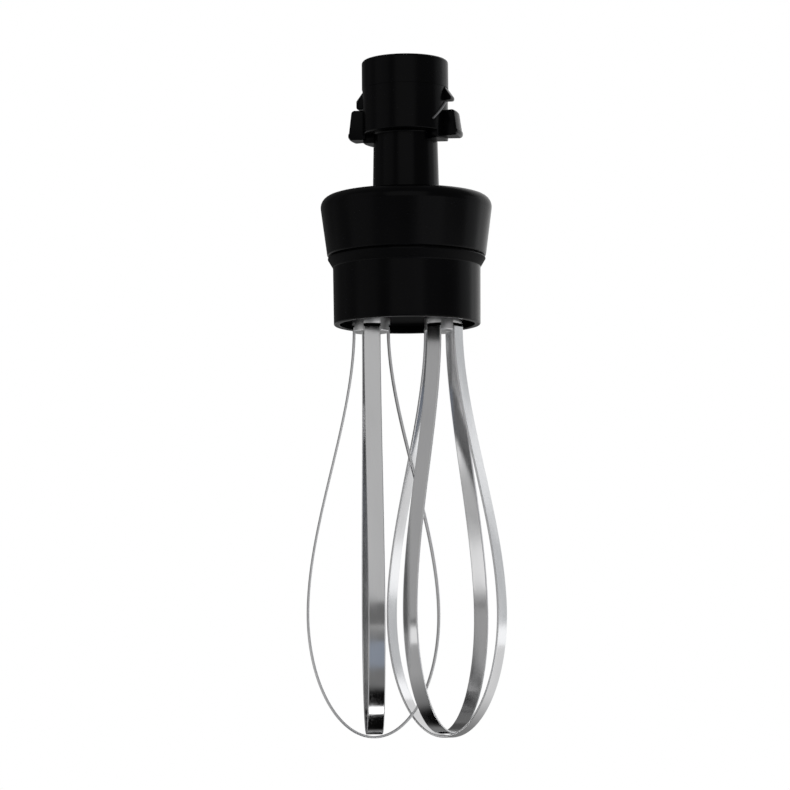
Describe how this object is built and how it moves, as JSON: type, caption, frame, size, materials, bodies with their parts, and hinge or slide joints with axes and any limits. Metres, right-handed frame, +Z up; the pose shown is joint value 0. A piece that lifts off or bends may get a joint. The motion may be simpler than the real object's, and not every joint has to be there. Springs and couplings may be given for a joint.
{
  "type": "whisk attachment",
  "caption": "Twin whisk attachment for a stick blender: black gear housing with a bayonet collar, over counter-rotating whisks of crossed flat steel strip loops.",
  "frame": {"origin": "on the drive axis, at the foot of the collar's plain wall", "axes": "+Z up along the drive axis, out of the collar's mouth; X through the two whisk axes; the picture looks along +Y"},
  "size_m": [0.0878, 0.0762, 0.3006],
  "materials": {
    "black_moulding": "satin moulded",
    "seal_rubber": "matte",
    "bearing_steel": "ground",
    "shaft_steel": "turned",
    "dog_metal": "as cast",
    "gear_plastic": "moulded",
    "bush_bronze": "sintered",
    "screw_steel": "zinc plated",
    "hub_steel": "turned",
    "strip_steel": "polished stainless"
  },
  "bodies": {
    "housing": {"upper_housing": "black_moulding", "lower_housing": "black_moulding", "housing_seal": "seal_rubber", "upper_bearing_outer_race": "bearing_steel", "upper_bearing_balls": "bearing_steel", "lower_bearing_outer_race": "bearing_steel", "lower_bearing_balls": "bearing_steel", "cluster_pin": "shaft_steel", "left_upper_bush": "bush_bronze", "right_upper_bush": "bush_bronze", "left_lower_bush": "bush_bronze", "right_lower_bush": "bush_bronze", "left_shaft_seal": "seal_rubber", "right_shaft_seal": "seal_rubber", "case_screws": "screw_steel"},
    "drive": {"drive_shaft": "shaft_steel", "drive_dog": "dog_metal", "upper_bearing_inner_race": "bearing_steel", "lower_bearing_inner_race": "bearing_steel", "shaft_retaining_ring": "shaft_steel"},
    "cluster": {"cluster_gear": "gear_plastic"},
    "left_whisk": {"left_spindle": "shaft_steel", "left_gear": "gear_plastic", "left_retaining_ring": "shaft_steel", "left_hub": "hub_steel", "left_outer_loop": "strip_steel", "left_inner_loop": "strip_steel"},
    "right_whisk": {"right_spindle": "shaft_steel", "right_gear": "gear_plastic", "right_retaining_ring": "shaft_steel", "right_hub": "hub_steel", "right_outer_loop": "strip_steel", "right_inner_loop": "strip_steel"}
  },
  "joints": [
    {"name": "left_whisk_spin", "type": "hinge", "parent": "housing", "child": "left_whisk", "pos_m": [-0.016, 0, -0.1], "axis": [0, 0, 1], "continuous": true},
    {"name": "right_whisk_spin", "type": "hinge", "parent": "housing", "child": "right_whisk", "pos_m": [0.016, 0, -0.1], "axis": [0, 0, 1], "continuous": true},
    {"name": "cluster_spin", "type": "hinge", "parent": "housing", "child": "cluster", "pos_m": [-0.00212, 0.01707, -0.0585], "axis": [0, 0, 1], "continuous": true},
    {"name": "drive_shaft_spin", "type": "hinge", "parent": "housing", "child": "drive", "pos_m": [0, 0, 0], "axis": [0, 0, 1], "continuous": true}
  ],
  "couplings": [
    {"joint": "right_whisk_spin", "follows": "left_whisk_spin", "ratio": -1},
    {"joint": "cluster_spin", "follows": "left_whisk_spin", "ratio": -2.6667},
    {"joint": "drive_shaft_spin", "follows": "left_whisk_spin", "ratio": 8.8}
  ]
}
